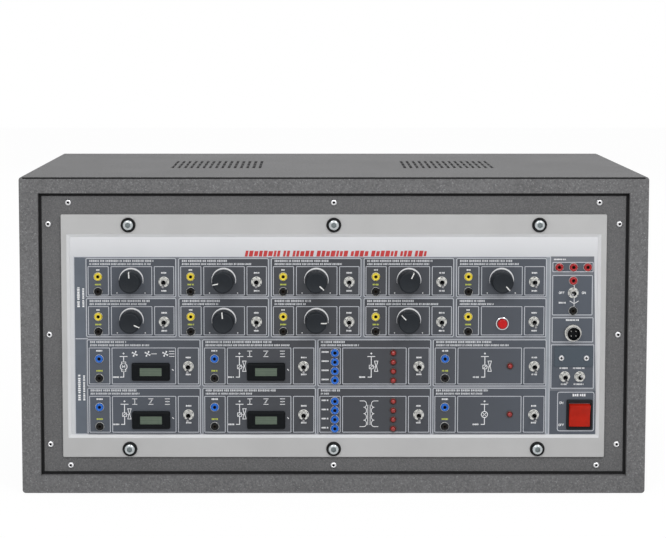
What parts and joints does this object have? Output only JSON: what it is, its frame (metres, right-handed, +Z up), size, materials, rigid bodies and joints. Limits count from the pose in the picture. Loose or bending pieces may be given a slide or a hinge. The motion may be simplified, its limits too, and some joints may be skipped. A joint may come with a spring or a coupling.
{
  "type": "automotive electronics trainer",
  "caption": "Desk-top steel training console with a recessed panel of knobs, toggles, sockets, meters and lamps for car electronics.",
  "frame": {"origin": "middle of the case's flat underside", "axes": "+X to the viewer's right along the panel, +Y from the panel to the rear, +Z up; the panel faces -Y"},
  "size_m": [0.625, 0.3275, 0.319],
  "materials": {
    "case_paint": "speckled grey texture paint",
    "subframe_paint": "fine texture grey paint",
    "frame_paint": "light grey texture paint",
    "panel_print": "dark grey print with pale lines",
    "bolt_steel": "plain steel",
    "cup_plastic": "black",
    "screw_steel": "blackened steel",
    "fastener_zinc": "zinc plated",
    "socket_yellow": "yellow",
    "socket_blue": "blue",
    "socket_black": "black",
    "socket_red": "red",
    "toggle_nickel": "nickel plated",
    "lever_chrome": "bright chrome",
    "potentiometer_steel": "plated steel",
    "knob_plastic": "satin black with a white pointer",
    "button_chrome": "bright chrome",
    "button_red": "red",
    "meter_black": "black",
    "meter_glass": "greenish grey display",
    "lamp_red": "diffused red",
    "lamp_ring": "black",
    "connector_metal": "nickel plated",
    "connector_black": "black",
    "cover_paint": "dark blue grey",
    "rocker_black": "black",
    "rocker_red": "translucent red",
    "inlet_black": "black",
    "board_green": "green solder mask",
    "supply_steel": "perforated casing"
  },
  "bodies": {
    "console": {"black_sockets": "socket_black", "blue_sockets": "socket_blue", "button_bezel": "button_chrome", "case_screws": "screw_steel", "case_shell": "case_paint", "circuit_board": "board_green", "connector_insert": "connector_black", "connector_shell": "connector_metal", "control_panel": "panel_print", "cover_plate": "cover_paint", "cup_washers": "cup_plastic", "front_subframe": "subframe_paint", "led_lenses": "lamp_red", "led_rings": "lamp_ring", "m3_fasteners": "fastener_zinc", "mains_inlet": "inlet_black", "meter_bezels": "meter_black", "meter_glasses": "meter_glass", "panel_bolts": "bolt_steel", "panel_frame": "frame_paint", "potentiometers": "potentiometer_steel", "power_supply": "supply_steel", "rear_panel": "case_paint", "red_sockets": "socket_red", "rocker_housing": "rocker_black", "toggle_bodies": "toggle_nickel", "toggle_nuts": "toggle_nickel", "yellow_sockets": "socket_yellow"},
    "knob_1": {"knob_1": "knob_plastic"},
    "knob_2": {"knob_2": "knob_plastic"},
    "knob_3": {"knob_3": "knob_plastic"},
    "knob_4": {"knob_4": "knob_plastic"},
    "knob_5": {"knob_5": "knob_plastic"},
    "knob_6": {"knob_6": "knob_plastic"},
    "knob_7": {"knob_7": "knob_plastic"},
    "knob_8": {"knob_8": "knob_plastic"},
    "knob_9": {"knob_9": "knob_plastic"},
    "lever_1": {"toggle_lever_1": "lever_chrome"},
    "lever_2": {"toggle_lever_2": "lever_chrome"},
    "lever_3": {"toggle_lever_3": "lever_chrome"},
    "lever_4": {"toggle_lever_4": "lever_chrome"},
    "lever_5": {"toggle_lever_5": "lever_chrome"},
    "lever_6": {"toggle_lever_6": "lever_chrome"},
    "lever_7": {"toggle_lever_7": "lever_chrome"},
    "lever_8": {"toggle_lever_8": "lever_chrome"},
    "lever_9": {"toggle_lever_9": "lever_chrome"},
    "lever_10": {"toggle_lever_10": "lever_chrome"},
    "lever_11": {"toggle_lever_11": "lever_chrome"},
    "lever_12": {"toggle_lever_12": "lever_chrome"},
    "lever_13": {"toggle_lever_13": "lever_chrome"},
    "lever_14": {"toggle_lever_14": "lever_chrome"},
    "lever_15": {"toggle_lever_15": "lever_chrome"},
    "lever_16": {"toggle_lever_16": "lever_chrome"},
    "lever_17": {"toggle_lever_17": "lever_chrome"},
    "lever_18": {"toggle_lever_18": "lever_chrome"},
    "lever_19": {"toggle_lever_19": "lever_chrome"},
    "lever_20": {"toggle_lever_20": "lever_chrome"},
    "lever_21": {"toggle_lever_21": "lever_chrome"},
    "rocker": {"power_rocker": "rocker_red"},
    "button": {"push_button": "button_red"}
  },
  "joints": [
    {"name": "knob_1_turn", "type": "hinge", "parent": "console", "child": "knob_1", "pos_m": [-0.2025, -0.15, 0.2146], "axis": [0, 1, 0], "range_deg": [-152, 158]},
    {"name": "knob_2_turn", "type": "hinge", "parent": "console", "child": "knob_2", "pos_m": [-0.11005, -0.15, 0.2146], "axis": [0, 1, 0], "range_deg": [-54, 256]},
    {"name": "knob_3_turn", "type": "hinge", "parent": "console", "child": "knob_3", "pos_m": [-0.0176, -0.15, 0.2146], "axis": [0, 1, 0], "range_deg": [-288, 22]},
    {"name": "knob_4_turn", "type": "hinge", "parent": "console", "child": "knob_4", "pos_m": [0.07485, -0.15, 0.2146], "axis": [0, 1, 0], "range_deg": [-179, 131]},
    {"name": "knob_5_turn", "type": "hinge", "parent": "console", "child": "knob_5", "pos_m": [0.1673, -0.15, 0.2146], "axis": [0, 1, 0], "range_deg": [-293, 17]},
    {"name": "knob_6_turn", "type": "hinge", "parent": "console", "child": "knob_6", "pos_m": [-0.2025, -0.15, 0.1743], "axis": [0, 1, 0], "range_deg": [-269, 41]},
    {"name": "knob_7_turn", "type": "hinge", "parent": "console", "child": "knob_7", "pos_m": [-0.11005, -0.15, 0.1743], "axis": [0, 1, 0], "range_deg": [-150, 160]},
    {"name": "knob_8_turn", "type": "hinge", "parent": "console", "child": "knob_8", "pos_m": [-0.0176, -0.15, 0.1743], "axis": [0, 1, 0], "range_deg": [-245, 65]},
    {"name": "knob_9_turn", "type": "hinge", "parent": "console", "child": "knob_9", "pos_m": [0.07485, -0.15, 0.1743], "axis": [0, 1, 0], "range_deg": [-111, 199]},
    {"name": "lever_1_flip", "type": "hinge", "parent": "console", "child": "lever_1", "pos_m": [-0.16955, -0.152, 0.2134], "axis": [-1, 0, 0], "range_deg": [0, 24]},
    {"name": "lever_2_flip", "type": "hinge", "parent": "console", "child": "lever_2", "pos_m": [-0.0771, -0.152, 0.2134], "axis": [-1, 0, 0], "range_deg": [0, 24]},
    {"name": "lever_3_flip", "type": "hinge", "parent": "console", "child": "lever_3", "pos_m": [0.01535, -0.152, 0.2134], "axis": [-1, 0, 0], "range_deg": [0, 24]},
    {"name": "lever_4_flip", "type": "hinge", "parent": "console", "child": "lever_4", "pos_m": [0.1078, -0.152, 0.2134], "axis": [-1, 0, 0], "range_deg": [0, 24]},
    {"name": "lever_5_flip", "type": "hinge", "parent": "console", "child": "lever_5", "pos_m": [0.20025, -0.152, 0.2134], "axis": [-1, 0, 0], "range_deg": [0, 24]},
    {"name": "lever_6_flip", "type": "hinge", "parent": "console", "child": "lever_6", "pos_m": [-0.16955, -0.152, 0.1731], "axis": [-1, 0, 0], "range_deg": [0, 24]},
    {"name": "lever_7_flip", "type": "hinge", "parent": "console", "child": "lever_7", "pos_m": [-0.0771, -0.152, 0.1731], "axis": [-1, 0, 0], "range_deg": [0, 24]},
    {"name": "lever_8_flip", "type": "hinge", "parent": "console", "child": "lever_8", "pos_m": [0.01535, -0.152, 0.1731], "axis": [-1, 0, 0], "range_deg": [0, 24]},
    {"name": "lever_9_flip", "type": "hinge", "parent": "console", "child": "lever_9", "pos_m": [0.1078, -0.152, 0.1731], "axis": [-1, 0, 0], "range_deg": [0, 24]},
    {"name": "lever_10_flip", "type": "hinge", "parent": "console", "child": "lever_10", "pos_m": [0.20025, -0.152, 0.1731], "axis": [-1, 0, 0], "range_deg": [0, 24]},
    {"name": "lever_11_flip", "type": "hinge", "parent": "console", "child": "lever_11", "pos_m": [-0.1456, -0.152, 0.128], "axis": [-1, 0, 0], "range_deg": [0, 24]},
    {"name": "lever_12_flip", "type": "hinge", "parent": "console", "child": "lever_12", "pos_m": [-0.0301, -0.152, 0.128], "axis": [-1, 0, 0], "range_deg": [0, 24]},
    {"name": "lever_13_flip", "type": "hinge", "parent": "console", "child": "lever_13", "pos_m": [0.0854, -0.152, 0.128], "axis": [-1, 0, 0], "range_deg": [0, 24]},
    {"name": "lever_14_flip", "type": "hinge", "parent": "console", "child": "lever_14", "pos_m": [0.2009, -0.152, 0.128], "axis": [-1, 0, 0], "range_deg": [0, 24]},
    {"name": "lever_15_flip", "type": "hinge", "parent": "console", "child": "lever_15", "pos_m": [-0.1456, -0.152, 0.0789], "axis": [-1, 0, 0], "range_deg": [0, 24]},
    {"name": "lever_16_flip", "type": "hinge", "parent": "console", "child": "lever_16", "pos_m": [-0.0301, -0.152, 0.0789], "axis": [-1, 0, 0], "range_deg": [0, 24]},
    {"name": "lever_17_flip", "type": "hinge", "parent": "console", "child": "lever_17", "pos_m": [0.0854, -0.152, 0.0789], "axis": [-1, 0, 0], "range_deg": [0, 24]},
    {"name": "lever_18_flip", "type": "hinge", "parent": "console", "child": "lever_18", "pos_m": [0.2009, -0.152, 0.0789], "axis": [-1, 0, 0], "range_deg": [0, 24]},
    {"name": "lever_19_flip", "type": "hinge", "parent": "console", "child": "lever_19", "pos_m": [0.2392, -0.152, 0.20239], "axis": [0, 0, 1], "range_deg": [0, 24]},
    {"name": "lever_20_flip", "type": "hinge", "parent": "console", "child": "lever_20", "pos_m": [0.2317, -0.152, 0.1176], "axis": [-1, 0, 0], "range_deg": [0, 24]},
    {"name": "lever_21_flip", "type": "hinge", "parent": "console", "child": "lever_21", "pos_m": [0.2467, -0.152, 0.1176], "axis": [1, 0, 0], "range_deg": [0, 24]},
    {"name": "rocker_rock", "type": "hinge", "parent": "console", "child": "rocker", "pos_m": [0.2468, -0.149, 0.079], "axis": [-1, 0, 0], "range_deg": [0, 20]},
    {"name": "button_press", "type": "slide", "parent": "console", "child": "button", "axis": [0, 1, 0], "range_m": [0, 0.003], "stiffness_N_per_m": 800}
  ]
}
